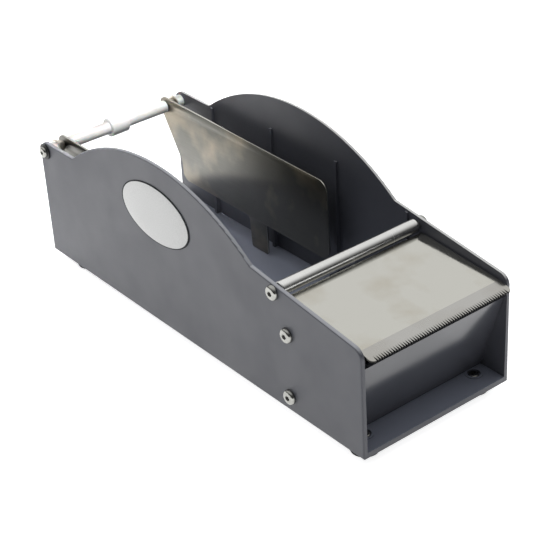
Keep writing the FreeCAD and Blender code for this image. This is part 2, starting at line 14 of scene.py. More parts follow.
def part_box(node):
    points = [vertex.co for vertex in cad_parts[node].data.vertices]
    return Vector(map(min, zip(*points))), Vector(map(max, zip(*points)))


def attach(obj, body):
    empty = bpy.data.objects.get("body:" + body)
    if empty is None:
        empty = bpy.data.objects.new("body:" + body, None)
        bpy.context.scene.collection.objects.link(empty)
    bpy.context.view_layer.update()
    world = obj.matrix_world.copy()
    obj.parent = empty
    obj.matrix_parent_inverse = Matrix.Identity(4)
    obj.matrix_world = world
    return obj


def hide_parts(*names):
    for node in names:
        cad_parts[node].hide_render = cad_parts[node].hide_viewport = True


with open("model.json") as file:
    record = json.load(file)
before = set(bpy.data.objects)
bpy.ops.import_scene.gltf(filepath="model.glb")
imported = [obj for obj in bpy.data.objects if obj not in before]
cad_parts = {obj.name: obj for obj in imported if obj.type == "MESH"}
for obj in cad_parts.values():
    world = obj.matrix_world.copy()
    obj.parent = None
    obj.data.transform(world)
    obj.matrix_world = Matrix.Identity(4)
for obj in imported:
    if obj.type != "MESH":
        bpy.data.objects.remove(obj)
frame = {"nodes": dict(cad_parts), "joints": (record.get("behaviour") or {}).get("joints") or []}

LOG = logging.getLogger("dispenser")
MM = 0.001
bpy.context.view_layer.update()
X_AXIS = Vector((1, 0, 0))
Z_AXIS = Vector((0, 0, 1))

Pair = tuple[float, float]
Corner = tuple[float, float, float]
Tree = bpy.types.NodeTree
Node = bpy.types.Node
Socket = bpy.types.NodeSocket
Material = bpy.types.Material
Piece = bpy.types.Object
Inputs = dict[str, object]


class Side(Enum):
    """The two sides of the dispenser, with the sign of their X."""

    LEFT = -1
    RIGHT = 1

    @property
    def word(self) -> str:
        """The side's name as it stands in the frame's node names."""
        return self.name.lower()


class Grain(Enum):
    """The direction that a sheet's or bar's polishing lines run in."""

    ALONG = (1.0, 0.04, 1.0)
    ROUND = (1.0, 0.02, 0.02)


# Colour and node helpers


def linear(colour: str) -> tuple[float, float, float, float]:
    """Turns an sRGB hex colour into a linear one.

    Args:
        colour: Six hex digits after a hash sign.

    Returns:
        Linear red, green and blue, and an alpha of 1.
    """
    parts = [int(colour[i:i + 2], 16) / 255 for i in (1, 3, 5)]
    bent = [c / 12.92 if c <= 0.04045 else ((c + 0.055) / 1.055) ** 2.4 for c in parts]
    return (bent[0], bent[1], bent[2], 1.0)


def add_node(tree: Tree, kind: str, links: Optional[dict] = None,
             **settings: object) -> Node:
    """Adds a node with its settings and its links.

    Args:
        tree: The node tree.
        kind: The node's Blender type name after ShaderNode.
        links: Socket name or number to another node's output socket, or to a plain value.
        **settings: Properties of the node itself.

    Returns:
        The new node.
    """
    made = tree.nodes.new("ShaderNode" + kind)
    for key, value in settings.items():
        setattr(made, key, value)
    for key, value in (links or {}).items():
        socket = made.inputs[key]
        if isinstance(value, Socket):
            tree.links.new(value, socket)
        else:
            socket.default_value = value
    return made


def maths(tree: Tree, operation: str, *values: object, clamp: bool = False) -> Socket:
    """Combines sockets or numbers by one arithmetic operation.

    Args:
        tree: The node tree.
        operation: Blender's name of the operation.
        *values: The operation's inputs in order.
        clamp: True to keep the result between 0 and 1.

    Returns:
        The result's socket.
    """
    return add_node(tree, "Math", dict(enumerate(values)), operation=operation, use_clamp=clamp).outputs[0]


def blend(tree: Tree, amount: Socket, under: object, over: object) -> Socket:
    """Mixes two colours.

    Args:
        tree: The node tree.
        amount: How much of the second colour shows, from 0 to 1.
        under: The first colour or its socket.
        over: The second colour or its socket.

    Returns:
        The mixed colour's socket.
    """
    return add_node(tree, "Mix", {0: amount, 6: under, 7: over}, data_type="RGBA").outputs[2]


def ramp(tree: Tree, source: Socket, stops: Sequence[tuple]) -> Socket:
    """Maps a value to colours.

    Args:
        tree: The node tree.
        source: The value's socket.
        stops: Pairs of place and linear colour, in rising order.

    Returns:
        The ramp's colour socket.
    """
    made = add_node(tree, "ValToRGB", {"Fac": source})
    elements = made.color_ramp.elements
    while len(elements) < len(stops):
        elements.new(0.5)
    for element, (place, colour) in zip(elements, stops):
        element.position = place
        element.color = colour
    return made.outputs["Color"]


def remap(tree: Tree, value: Socket, start: float, stop: float, low: float = 0.0, high: float = 1.0,
          **settings: object) -> Socket:
    """Maps one range of a value to another, and holds it at the ends.

    Args:
        tree: The node tree.
        value: The value's socket.
        start: Where the value's range begins.
        stop: Where it ends.
        low: The result at the start.
        high: The result at the stop.
        **settings: Properties of the node.

    Returns:
        The result's socket.
    """
    links = {"Value": value, "From Min": start, "From Max": stop, "To Min": low, "To Max": high}
    return add_node(tree, "MapRange", links, **settings).outputs["Result"]


def spread(tree: Tree, source: Socket, low: float, high: float) -> Socket:
    """Stretches a noise's middle range to run from a low to a high value."""
    return remap(tree, source, 0.3, 0.7, low, high)


def tones(tree: Tree, source: Socket, shade: str, colour: str) -> Socket:
    """Turns a noise's middle range into a blend of two hex colours."""
    return ramp(tree, source, ((0.35, linear(shade)), (0.65, linear(colour))))


def relief(tree: Tree, height: Socket, strength: float, depth: float, **under: Socket) -> Socket:
    """Turns a pattern into a bumpy normal.

    Args:
        tree: The node tree.
        height: The pattern's socket.
        strength: How much of the bump shows, from 0 to 1.
        depth: The bump's depth in millimetres.
        **under: Normal, the socket of a coarser bump that this one lies on.

    Returns:
        The normal's socket.
    """
    links = {"Height": height, "Strength": strength, "Distance": depth * MM, **under}
    return add_node(tree, "Bump", links).outputs["Normal"]


def noise(tree: Tree, where: Socket, size: float, detail: float = 3.0,
          stretch: Sequence[float] = (1.0, 1.0, 1.0)) -> Socket:
    """Noise with features of a real size.

    Args:
        tree: The node tree.
        where: The coordinates' socket.
        size: The features' width in millimetres.
        detail: How many finer layers are added.
        stretch: Scale of each axis before the noise, below 1 to draw it out.

    Returns:
        The noise value's socket.
    """
    moved = add_node(tree, "Mapping", {"Vector": where, "Scale": tuple(stretch)})
    links = {"Vector": moved.outputs["Vector"], "Scale": 1 / (size * MM), "Detail": detail}
    return add_node(tree, "TexNoise", links).outputs[0]


@dataclass(frozen=True)
class Finish:
    """What a surface is made of. Each kind of finish has its own shader inputs."""

    name: str

    def build(self) -> Material:
        """Makes the material.

        Returns:
            The material, ready for a piece.
        """
        material = bpy.data.materials.new(self.name)
        material.use_nodes = True
        tree = material.node_tree
        tree.nodes.clear()
        where = add_node(tree, "TexCoord").outputs["Object"]
        shader = add_node(tree, "BsdfPrincipled", self.inputs(tree, where))
        add_node(tree, "OutputMaterial", {"Surface": shader.outputs["BSDF"]})
        return material

    def inputs(self, tree: Tree, where: Socket) -> Inputs:
        """Works out the shader's inputs.

        Args:
            tree: The material's node tree.
            where: Object coordinates.

        Returns:
            The shader's inputs by name.
        """
        raise NotImplementedError


@dataclass(frozen=True)
class MouldedAbs(Finish):
    """Injection-moulded ABS with a spark-eroded texture: satin and slightly cloudy, with painted highlights
    on the upward-facing tops of its walls and painted light on the tub's floor.
    """

    colour: str = "#595b63"
    cloud: str = "#54565e"
    # Painted highlight colours for the upward-facing tops of the left and the right wall.
    edge: str = "#9b9da3"
    far_top_painted_highlight: str = "#c6c7c6"
    # Painted light: a paler, bluer colour for the upward-facing floor inside the tub, below the given height
    # in millimetres.
    painted_floor_light: str = "#8a8f9e"
    painted_floor_light_top: float = 20.0
    roughness: float = 0.42
    grain: float = 0.9
    grain_strength: float = 0.12
    wall_inside: float = 53.9
    top_highlight_from: float = 0.72
    gloss: float = 0.5

    def inputs(self, tree: Tree, where: Socket) -> Inputs:
        """Gives cloudy grey, painted highlights on the upward-facing tops of the thin walls, painted light
        on the upward-facing floor inside, and a fine satin grain.

        Args:
            tree: The material's node tree.
            where: Object coordinates.

        Returns:
            The shader's inputs by name.
        """
        body = tones(tree, noise(tree, where, 60.0, 4.0), self.cloud, self.colour)
        normal = add_node(tree, "NewGeometry").outputs["Normal"]
        up = add_node(tree, "SeparateXYZ", {0: normal}).outputs["Z"]
        facing_up = remap(tree, up, self.top_highlight_from - 0.2, self.top_highlight_from + 0.1)
        place = add_node(tree, "SeparateXYZ", {0: where}).outputs
        distance = maths(tree, "ABSOLUTE", place["X"])
        on_wall = maths(tree, "GREATER_THAN", distance, self.wall_inside * MM)
        # Painted highlight: upward-facing faces on the walls take the pale top colour.
        painted_top_highlight = maths(tree, "MULTIPLY", facing_up, on_wall)
        # Painted light: the upward-facing floor inside the tub is coloured paler and bluer than its walls,
        # as if lit from above.
        low = maths(tree, "LESS_THAN", place["Z"], self.painted_floor_light_top * MM)
        inside = maths(tree, "SUBTRACT", low, on_wall, clamp=True)
        painted_floor_light_mask = maths(tree, "MULTIPLY", facing_up, inside)
        ground = blend(tree, painted_floor_light_mask, body, linear(self.painted_floor_light))
        # Painted highlight: the right wall's upward-facing top is coloured paler than the left one's.
        right = maths(tree, "SIGN", place["X"])
        rim = blend(tree, right, linear(self.edge), linear(self.far_top_painted_highlight))
        rough = spread(tree, noise(tree, where, 22.0), 0.9 * self.roughness, 1.15 * self.roughness)
        # The real grain is about 0.1 mm; it is drawn coarser so that it still shows.
        fine = noise(tree, where, self.grain, 2.0)
        return {"Base Color": blend(tree, painted_top_highlight, ground, rim), "Roughness": rough, "IOR": 1.53,
                "Specular IOR Level": self.gloss, "Normal": relief(tree, fine, self.grain_strength, 0.1)}


@dataclass(frozen=True)
class StainlessSheet(Finish):
    """Cold-rolled stainless sheet with a satin polish: soft mirror reflections, faint lines, tea stains."""

    colour: str = "#bdbcb5"
    stain: str = "#a39a86"
    stain_amount: float = 0.5
    roughness: float = 0.16
    grain: Grain = Grain.ALONG

    def inputs(self, tree: Tree, where: Socket) -> Inputs:
        """Gives steel colour with beige stains, streaky roughness and a shallow wave in the sheet.

        Args:
            tree: The material's node tree.
            where: Object coordinates.

        Returns:
            The shader's inputs by name.
        """
        blots = noise(tree, where, 34.0, 5.0)
        amount = remap(tree, blots, 0.48, 0.72, 0.0, self.stain_amount)
        lines = noise(tree, where, 0.7, 2.0, self.grain.value)
        haze = noise(tree, where, 18.0, 3.0)
        streaky = spread(tree, lines, -0.04, 0.04)
        hazy = spread(tree, haze, self.roughness - 0.03, self.roughness + 0.06)
        wave = relief(tree, noise(tree, where, 26.0, 1.0), 0.25, 0.12)
        return {"Base Color": blend(tree, amount, linear(self.colour), linear(self.stain)), "Metallic": 1.0,
                "Roughness": maths(tree, "ADD", streaky, hazy),
                "Normal": relief(tree, lines, 0.05, 0.03, Normal=wave)}


@dataclass(frozen=True)
class TurnedBar(Finish):
    """Drawn and turned aluminium bar: bright, with fine rings round its axis."""

    colour: str = "#dddddb"
    shade: str = "#cfcfcc"
    roughness: float = 0.22
    pitch: float = 0.5

    def inputs(self, tree: Tree, where: Socket) -> Inputs:
        """Gives a bright metal with ring marks in its roughness and bump.

        Args:
            tree: The material's node tree.
            where: Object coordinates.

        Returns:
            The shader's inputs by name.
        """
        rings = noise(tree, where, self.pitch, 2.0, Grain.ROUND.value)
        clouds = noise(tree, where, 15.0)
        tone = ramp(tree, clouds, ((0.3, linear(self.shade)), (0.7, linear(self.colour))))
        rough = spread(tree, rings, self.roughness - 0.05, self.roughness + 0.06)
        return {"Base Color": tone, "Metallic": 1.0, "Roughness": rough,
                "Normal": relief(tree, rings, 0.1, 0.03)}


@dataclass(frozen=True)
class ZincPlate(Finish):
    """Bright zinc plating on steel fasteners: silvery, with a faint mottle."""

    colour: str = "#a3a39f"
    shade: str = "#92928d"
    roughness: float = 0.18

    def inputs(self, tree: Tree, where: Socket) -> Inputs:
        """Gives mottled silver with uneven gloss.

        Args:
            tree: The material's node tree.
            where: Object coordinates.

        Returns:
            The shader's inputs by name.
        """
        mottle = noise(tree, where, 1.6, 3.0)
        rough = spread(tree, noise(tree, where, 0.8), self.roughness - 0.06, self.roughness + 0.08)
        return {"Base Color": tones(tree, mottle, self.shade, self.colour), "Metallic": 1.0,
                "Roughness": rough, "Normal": relief(tree, mottle, 0.06, 0.05)}


@dataclass(frozen=True)
class PlainPolymer(Finish):
    """A self-coloured plastic or rubber with a soft mottle, such as nylon tube or moulded rubber."""

    colour: str = "#ececea"
    shade: str = "#e2e2de"
    roughness: float = 0.35
    scatter: float = 0.0
    mottle: float = 6.0
    gloss: float = 0.5

    def inputs(self, tree: Tree, where: Socket) -> Inputs:
        """Gives a nearly even colour, soft gloss and, for a milky plastic, light under its skin.

        Args:
            tree: The material's node tree.
            where: Object coordinates.

        Returns:
            The shader's inputs by name.
        """
        clouds = noise(tree, where, self.mottle, 3.0)
        fine = noise(tree, where, self.mottle / 3)
        rough = spread(tree, fine, self.roughness - 0.04, self.roughness + 0.06)
        found = {"Base Color": tones(tree, clouds, self.shade, self.colour), "Roughness": rough, "IOR": 1.53,
                 "Specular IOR Level": self.gloss, "Normal": relief(tree, clouds, 0.08, 0.05)}
        if self.scatter:
            found |= {"Subsurface Weight": self.scatter, "Subsurface Scale": 1.0 * MM}
        return found


@dataclass(frozen=True)
class DomedResin(Finish):
    """Clear doming resin over a pearl foil: a pale silver ground under a wet gloss."""

    colour: str = "#c8c9c8"
    shade: str = "#bcbdbc"

    def inputs(self, tree: Tree, where: Socket) -> Inputs:
        """Gives a pearly ground with fine flake and a clear coat.

        Args:
            tree: The material's node tree.
            where: Object coordinates.

        Returns:
            The shader's inputs by name.
        """
        flake = noise(tree, where, 0.6, 2.0)
        ripple = noise(tree, where, 14.0, 1.0)
        return {"Base Color": tones(tree, flake, self.shade, self.colour), "Metallic": 0.15,
                "Roughness": spread(tree, flake, 0.3, 0.42), "Coat Weight": 1.0, "Coat Roughness": 0.06,
                "Normal": relief(tree, ripple, 0.1, 0.05)}


# Modelling helpers. Every outline is in millimetres, and every mesh in metres.


def only(piece: Piece) -> None:
    """Makes a piece the only selected object, and the active one.

    Args:
        piece: The piece.
    """
    bpy.ops.object.select_all(action="DESELECT")
    piece.select_set(True)
    bpy.context.view_layer.objects.active = piece


def leave_edit() -> None:
    """Turns all the normals outwards and goes back to object mode."""
    bpy.ops.mesh.select_all(action="SELECT")
    bpy.ops.mesh.normals_make_consistent(inside=False)
    bpy.ops.object.mode_set(mode="OBJECT")


def trace(name: str, places: Sequence[Vector]) -> Piece:
    """Draws a chain of edges by extruding one vertex from place to place.

    Args:
        name: The new piece's name.
        places: The chain's points, in metres.

    Returns:
        The piece, in edit mode with all of it selected.
    """
    bpy.ops.object.select_all(action="DESELECT")
    bpy.ops.mesh.primitive_plane_add(size=MM, location=places[0])
    piece = bpy.context.active_object
    piece.name = name
    piece.data.name = name
    bpy.ops.object.transform_apply(location=True, rotation=True, scale=True)
    bpy.ops.object.mode_set(mode="EDIT")
    bpy.ops.mesh.select_all(action="SELECT")
    bpy.ops.mesh.merge(type="CENTER")
    for start, end in zip(places, places[1:]):
        bpy.ops.mesh.extrude_region_move(TRANSFORM_OT_translate={"value": end - start})
    bpy.ops.mesh.select_all(action="SELECT")
    return piece


def plate(name: str, outline: Sequence[Pair], x0: float, x1: float) -> Piece:
    """Makes a flat plate that stands in a plane of constant X.

    Args:
        name: The new piece's name.
        outline: Its (y, z) outline in millimetres.
        x0: X of its first face in millimetres.
        x1: X of its second face in millimetres.

    Returns:
        The piece, in object mode.
    """
    piece = trace(name, [Vector((x0, y, z)) * MM for y, z in outline])
    bpy.ops.mesh.edge_face_add()
    bpy.ops.mesh.extrude_region_move(TRANSFORM_OT_translate={"value": ((x1 - x0) * MM, 0, 0)})
    leave_edit()
    return piece


def lathe(name: str, profile: Sequence[Pair], centre: Vector, axis: Vector, steps: int = 64,
          ring: bool = False) -> Piece:
    """Turns a profile round an axis.

    Args:
        name: The new piece's name.
        profile: (distance along the axis, radius) points in millimetres.
        centre: The axis's zero point in millimetres.
        axis: The axis's unit direction, along X or Z.
        steps: How many sides the turned piece has.
        ring: True if the profile is a closed loop that stays off the axis.

    Returns:
        The piece, in object mode.
    """
    out = Z_AXIS if abs(axis.x) > 0.5 else X_AXIS
    points = [(centre + axis * along + out * radius) * MM for along, radius in profile]
    if ring:
        points.append(points[0])
    piece = trace(name, points)
    bpy.ops.mesh.spin(steps=steps, angle=2 * math.pi, center=centre * MM, axis=axis)
    bpy.ops.mesh.select_all(action="SELECT")
    bpy.ops.mesh.remove_doubles(threshold=0.0005 * MM)
    leave_edit()
    return piece


def modify(piece: Piece, kind: str, **settings: object) -> None:
    """Applies one modifier.

    Args:
        piece: The piece that is changed.
        kind: The modifier's Blender type name.
        **settings: The modifier's properties.
    """
    only(piece)
    bpy.ops.object.modifier_add(type=kind)
    modifier = piece.modifiers[-1]
    for key, value in settings.items():
        setattr(modifier, key, value)
    bpy.ops.object.modifier_apply(modifier=modifier.name)


def combine(piece: Piece, tool: Piece, operation: str) -> None:
    """Applies a boolean with another piece, which is then removed.

    Args:
        piece: The piece that is changed.
        tool: The other piece.
        operation: UNION, DIFFERENCE or INTERSECT.
    """
    modify(piece, "BOOLEAN", object=tool, operation=operation, solver="EXACT")
    bpy.data.objects.remove(tool)


def bevel(piece: Piece, width: float, segments: int = 2, angle: float = 40.0) -> None:
    """Rounds a piece's sharp edges.

    Args:
        piece: The piece that is changed.
        width: The bevel's width in millimetres.
        segments: How many faces the rounding has.
        angle: Edges sharper than this many degrees are rounded.
    """
    modify(piece, "BEVEL", width=width * MM, segments=segments, limit_method="ANGLE",
           angle_limit=math.radians(angle))


def smooth(piece: Piece, angle: float = 32.0) -> None:
    """Shades a piece smooth except across edges sharper than an angle in degrees."""
    only(piece)
    bpy.ops.object.shade_smooth_by_angle(angle=math.radians(angle))


def bar(name: str, centre: Vector, length: float, flats: float, turn: float = 0.0) -> Piece:
    """Adds a hexagonal bar along X, for cutting sockets and shaping nuts.

    Args:
        name: The new piece's name.
        centre: Its middle in millimetres.
        length: Its length in millimetres.
        flats: Its width across flats in millimetres.
        turn: Degrees that it is turned about its own axis.

    Returns:
        The piece, in object mode.
    """
    bpy.ops.object.select_all(action="DESELECT")
    bpy.ops.mesh.primitive_cylinder_add(vertices=6, radius=flats / math.sqrt(3) * MM, depth=length * MM,
                                        location=centre * MM, rotation=(math.radians(turn), math.pi / 2, 0))
    piece = bpy.context.active_object
    piece.name = name
    bpy.ops.object.transform_apply(location=True, rotation=True, scale=True)
    return piece


def arc(centre: Pair, radius: float, start: float, stop: float, steps: int) -> list[Pair]:
    """Points on an arc.

    Args:
        centre: The arc's centre.
        radius: The arc's radius.
        start: First angle in degrees.
        stop: Last angle in degrees.
        steps: How many chords it has.

    Returns:
        The points, both ends included.
    """
    angles = [math.radians(start + (stop - start) * i / steps) for i in range(steps + 1)]
    return [(centre[0] + radius * math.cos(a), centre[1] + radius * math.sin(a)) for a in angles]


def rims(half: float, radius: float, edge: float, steps: int) -> list[Pair]:
    """Both rounded outer rims of a turned bar, from its left end to its right one.

    Args:
        half: Half of the bar's length.
        radius: The bar's radius.
        edge: The rounding's radius.
        steps: How many chords each rounding has.

    Returns:
        The (distance along the axis, radius) points.
    """
    right = arc((half - edge, radius - edge), edge, 90, 0, steps)
    return [(-along, out) for along, out in reversed(right)] + right


def round_corner(before: Pair, corner: Corner, after: Pair, steps: int) -> list[Pair]:
    """Points that round one corner of an outline.

    Args:
        before: The point before the corner.
        corner: The corner and its radius.
        after: The point after the corner.
        steps: How many chords the rounding has.

    Returns:
        The arc's points, or the corner itself if its radius is zero.
    """
    spot, radius = Vector(corner[:2]), corner[2]
    if radius == 0:
        return [tuple(spot)]
    one, two = (Vector(before) - spot).normalized(), (Vector(after) - spot).normalized()
    half = one.angle(two) / 2
    middle = spot + (one + two).normalized() * (radius / math.sin(half))
    run = radius / math.tan(half)
    start, stop = spot + one * run - middle, spot + two * run - middle
    first = math.atan2(start.y, start.x)
    swing = math.atan2(stop.y, stop.x) - first
    swing = (swing + math.pi) % (2 * math.pi) - math.pi
    return arc(tuple(middle), radius, math.degrees(first), math.degrees(first + swing), steps)


def rounded(corners: Sequence[Corner], steps: int = 8) -> list[Pair]:
    """Outline with rounded corners.

    Args:
        corners: (y, z, radius) of each corner in order.
        steps: How many chords each rounding has.

    Returns:
        The outline's points.
    """
    points: list[Pair] = []
    for i, corner in enumerate(corners):
        before, after = corners[i - 1][:2], corners[(i + 1) % len(corners)][:2]
        points += round_corner(before, corner, after, steps)
    return points


def coat(piece: Piece, *finishes: Material) -> None:
    """Adds finishes to a piece, in slot order."""
    for material in finishes:
        piece.data.materials.append(material)


def settle(piece: Piece, slot: str, body: str, *nodes: str) -> None:
    """Hangs a finished piece on its body.

    Args:
        piece: The piece, already coated.
        slot: The record's material slot; not used.
        body: The body that it rides on.
        *nodes: The frame's nodes that it stands for.
    """
    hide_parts(*nodes)
    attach(piece, body)
    LOG.info("%s rides on %s with %d faces", piece.name, body, len(piece.data.polygons))


def paint_node(node: str, material: Material) -> None:
    """Gives a kept node of the frame its finish.

    Args:
        node: The node's name.
        material: Its finish.
    """
    piece = frame["nodes"][node]
    for place in piece.material_slots:
        place.material = material
    LOG.info("%s keeps its frame mesh", node)


def axis_of(joint: str) -> Pair:
    """The (y, z) of a joint's axis in millimetres."""
    found = next(j for j in frame["joints"] if j["name"] == joint)
    return found["pos_m"][1] / MM, found["pos_m"][2] / MM


def box_mm(node: str) -> tuple[Vector, Vector]:
    """A node's lowest and highest corners in millimetres."""
    low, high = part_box(node)
    return low / MM, high / MM


def turn_ring(node: str, bore: float, edge: float, chords: int, sides: int) -> Piece:
    """Turns a ring that fills one node's box, round the sleeve's axis.

    Args:
        node: The frame's node that it stands for.
        bore: Its bore's radius.
        edge: The rounding of its outer rims.
        chords: How many chords each rounding has.
        sides: How many sides the ring has.

    Returns:
        The ring.
    """
    low, high = box_mm(node)
    half, outer = (high.x - low.x) / 2, (high.z - low.z) / 2
    centre = Vector(((low.x + high.x) / 2, *axis_of("sleeve_spin")))
    profile = rims(half, outer, edge, chords) + [(half, bore), (-half, bore)]
    piece = lathe(node + "_turned", profile, centre, X_AXIS, sides, ring=True)
    smooth(piece)
    return piece


def finish(kind: type[Finish], name: str, **settings: object) -> Material:
    """A palette entry, whose material is made with the palette.

    Args:
        kind: The finish's class.
        name: The material's name.
        **settings: What differs from the class's own values.

    Returns:
        The dataclass field.
    """
    return field(default_factory=lambda: kind(name, **settings).build())


@dataclass
class Palette:
    """All the dispenser's finishes, built once."""

    tub: Material = finish(MouldedAbs, "moulded_grey_abs")
    bridge: Material = finish(MouldedAbs, "moulded_grey_abs_glossy", roughness=0.15,
                              grain_strength=0.0, gloss=0.43)
    deck: Material = finish(StainlessSheet, "stainless_deck_sheet", roughness=0.14)
    guide: Material = finish(StainlessSheet, "stainless_guide_sheet", colour="#6b6a64",
                             stain="#99907f", roughness=0.38, stain_amount=0.9)
    lip: Material = finish(StainlessSheet, "stainless_lip_scuffed", colour="#adaca8",
                           stain="#9b978f", roughness=0.2)
    # Rough sheared steel, coloured near-black as painted shade in the gaps between the teeth.
    sheared: Material = finish(ZincPlate, "sheared_steel_edge", colour="#2f2e2c",
                               shade="#1f1f1e", roughness=0.5)
    roller: Material = finish(TurnedBar, "turned_aluminium_bar")
    zinc: Material = finish(ZincPlate, "bright_zinc_plate")
    nut: Material = finish(ZincPlate, "nickel_lock_nut", colour="#d9d3c8", shade="#c6bfb3",
                           roughness=0.32)
    white: Material = finish(PlainPolymer, "milky_nylon_tube", scatter=0.15)
    # Near-black steel as painted shade inside the hex sockets and on the sides of the screw heads.
    socket: Material = finish(ZincPlate, "oiled_socket_steel", colour="#3a3a39",
                              shade="#2c2c2b", roughness=0.45)
    black: Material = finish(PlainPolymer, "black_nylon_washer", colour="#1b1b1c",
                             shade="#141415", mottle=2.0, gloss=0.3)
    rubber: Material = finish(PlainPolymer, "moulded_black_rubber", colour="#141414",
                              shade="#0e0e0e", roughness=0.8, mottle=2.0, gloss=0.08)
    label: Material = finish(DomedResin, "domed_resin_pearl")
    # A dark ring round the label's edge, partly a printed line and partly painted shade where the dome meets
    # the wall.
    outline: Material = finish(PlainPolymer, "printed_dark_line", colour="#2f3033",
                               shade="#28292c", roughness=0.6, mottle=2.0, gloss=0.15)


@dataclass
class Tub:
    """The moulded tub and the bridge inside it, whose frame meshes are already right."""

    finishes: Palette

    def build(self) -> None:
        """Dresses the tub, the bridge and the hidden nuts."""
        paint_node("body_tub", self.finishes.tub)
        paint_node("front_bridge", self.finishes.bridge)
        for side in Side:
            paint_node("bridge_nuts_" + side.word, self.finishes.zinc)
        paint_node("foot_nuts", self.finishes.zinc)
        paint_node("foot_screws", self.finishes.zinc)


@dataclass
class DeckPlate:
    """Bent stainless plate with a sawtooth lip."""

    finishes: Palette
    thickness: float = 1.2
    corner: float = 3.0
    teeth: int = 57
    tooth_depth: float = 3.2
    tooth_land: float = 0.6
    lip_length: float = 10.5
    lip_slope: float = 0.2
    deck_slope: float = 0.072
    flange_gap: float = 0.9
    burr: float = 0.15
    steep: float = 0.55

    def lip_outline(self, half: float, tip: float) -> list[Pair]:
        """The lip's (x, y) outline, from one end of its bend round the teeth to the other.

        Args:
            half: Half of the plate's width.
            tip: Y of the teeth's tips.

        Returns:
            The outline's points in millimetres.
        """
        r = self.corner
        inner = half - r
        pitch = 2 * inner / self.teeth
        points = [(-half, tip + self.lip_length)] + arc((-inner, tip + r), r, 180, 270, 6)
        land = self.tooth_land / 2
        for i in range(self.teeth):
            start = -inner + i * pitch
            points.append((start + land, tip))
            points.append((start + pitch / 2, tip + self.tooth_depth))
            points.append((start + pitch - land, tip))
        points += arc((inner, tip + r), r, 270, 360, 6)
        return points + [(half, tip + self.lip_length)]

    def build(self) -> None:
        """Draws the lip, pulls the deck and the rear flange out of its bend, and thickens the sheet."""
        low, high = box_mm("cutter_plate")
        half, tip = high.x, low.y
        bend = tip + self.lip_length
        bend_z = high.z - self.deck_slope * (high.y - bend)

        def height(y: float) -> float:
            """The lip's height at a Y, in millimetres."""
            return bend_z - self.lip_slope * (bend - y)

        points = [Vector((x, y, height(y))) * MM for x, y in self.lip_outline(half, tip)]
        piece = trace("cutter_plate_sheet", points)
        bpy.ops.mesh.edge_face_add()
        self.pull(piece, bend, Vector((0, high.y - bend, high.z - bend_z)))
        self.pull(piece, high.y, Vector((0, 0, low.z - high.z + self.flange_gap)))
        leave_edit()
        # The sheet lies below and in front of the drawn surface.
        up = sum(face.normal.z * face.area for face in piece.data.polygons)
        modify(piece, "SOLIDIFY", thickness=self.thickness * MM, offset=-1.0 if up > 0 else 1.0,
               use_even_offset=True)
        bevel(piece, self.burr, 1, 50)
        smooth(piece, 25)
        self.dress(piece, tip + self.tooth_depth, bend)
        settle(piece, "deck_steel", "tub", "cutter_plate")

    def dress(self, piece: Piece, root: float, bend: float) -> None:
        """Gives the deck and the scuffed lip their finishes, and gives the flanks and front edges of the
        teeth a rough near-black steel that paints the shade in the gaps between them.

        Args:
            piece: The finished sheet.
            root: Y of the teeth's roots in millimetres.
            bend: Y of the lip's bend in millimetres.
        """
        coat(piece, self.finishes.deck, self.finishes.lip, self.finishes.sheared)
        # Painted shade: steep faces in front of the teeth's roots, which are the flanks and tips of the
        # teeth, take the near-black steel.
        for face in piece.data.polygons:
            y = face.center.y / MM
            if y < root and abs(face.normal.z) < self.steep:
                face.material_index = 2
            elif y < bend:
                face.material_index = 1

    def pull(self, piece: Piece, y: float, way: Vector) -> None:
        """Extrudes the straight edge at one Y.

        Args:
            piece: The sheet, in edit mode.
            y: The edge's Y in millimetres.
            way: How far it is pulled, in millimetres.
        """
        bpy.ops.mesh.select_all(action="DESELECT")
        bpy.ops.object.mode_set(mode="OBJECT")
        for vertex in piece.data.vertices:
            vertex.select = abs(vertex.co.y - y * MM) < 0.01 * MM
        bpy.ops.object.mode_set(mode="EDIT")
        bpy.ops.mesh.select_mode(type="VERT")
        bpy.ops.mesh.extrude_region_move(TRANSFORM_OT_translate={"value": way * MM})


